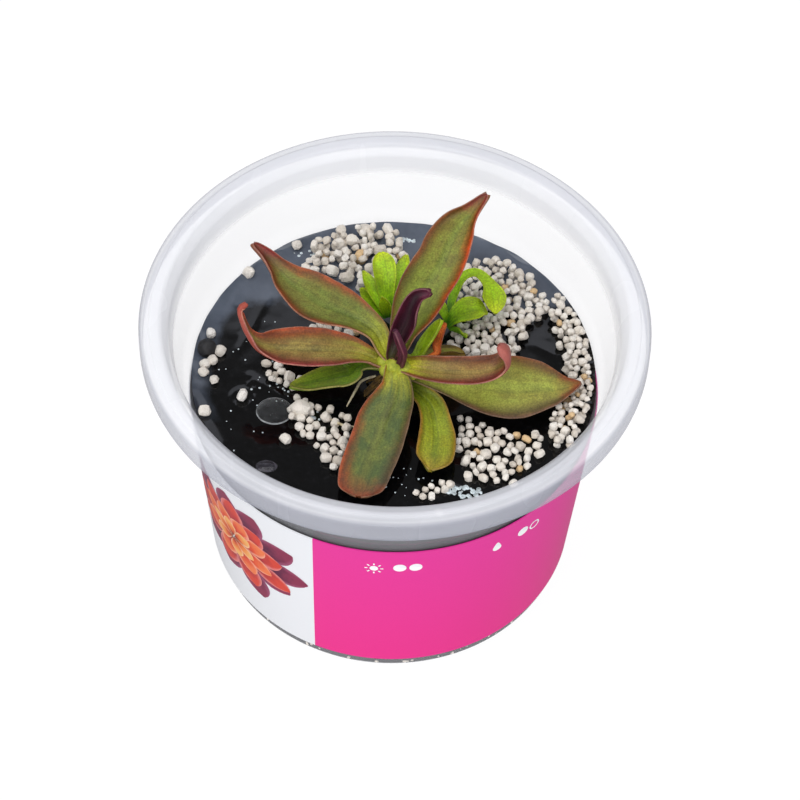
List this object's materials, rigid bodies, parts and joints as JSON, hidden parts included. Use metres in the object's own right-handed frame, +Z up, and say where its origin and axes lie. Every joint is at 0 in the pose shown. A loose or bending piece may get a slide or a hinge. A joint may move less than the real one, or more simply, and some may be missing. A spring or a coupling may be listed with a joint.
{
  "type": "potted butterwort",
  "caption": "Butterwort rosette with fleshy red-edged leaves on black growing gel with pumice grains, in a clear round cup with a wrap-round label.",
  "frame": {"origin": "middle of the cup's foot ring, on the surface it stands on", "axes": "+Z up along the cup's axis; the printed panel's middle faces -Y"},
  "size_m": [0.101, 0.101, 0.0809],
  "materials": {
    "cup": "clear polypropylene with a slight milky haze",
    "label": "printed film, magenta with a white panel at the left",
    "gel": "opaque wet black gel",
    "crown": "fibrous brown",
    "pumice": "pale porous grains",
    "olive_leaf": "fleshy leaf, slightly glossy and finely haired",
    "russet_leaf": "fleshy leaf, slightly glossy and finely haired",
    "green_leaf": "fleshy leaf, slightly glossy and finely haired",
    "purple_leaf": "fleshy leaf, slightly glossy and finely haired",
    "lime_leaf": "fleshy leaf, slightly glossy and finely haired",
    "orange_leaf": "fleshy leaf, slightly glossy and finely haired",
    "old_leaf": "fleshy leaf, slightly glossy and finely haired"
  },
  "bodies": {
    "root": {"cup": "cup", "label": "label", "gel": "gel", "crown": "crown", "leaf_rear_tall": "olive_leaf", "leaf_rear_left": "olive_leaf", "leaf_front": "olive_leaf", "leaf_right_broad": "olive_leaf", "leaf_left_hooked": "russet_leaf", "leaf_right_curled": "russet_leaf", "leaf_left_lower": "green_leaf", "leaf_heart_purple": "purple_leaf", "leaf_heart_front": "purple_leaf", "leaf_heart_lime": "lime_leaf", "plantlet_rear_left": "lime_leaf", "plantlet_rear_right": "lime_leaf", "leaf_heart_orange": "orange_leaf", "leaf_withered": "old_leaf", "leaf_front_old": "old_leaf", "pumice_rear_left": "pumice", "pumice_left": "pumice", "pumice_rear_right": "pumice", "pumice_right_wall": "pumice", "pumice_front_right": "pumice", "pumice_left_edge": "pumice", "pumice_front_left": "pumice", "pumice_front": "pumice"}
  },
  "joints": []
}
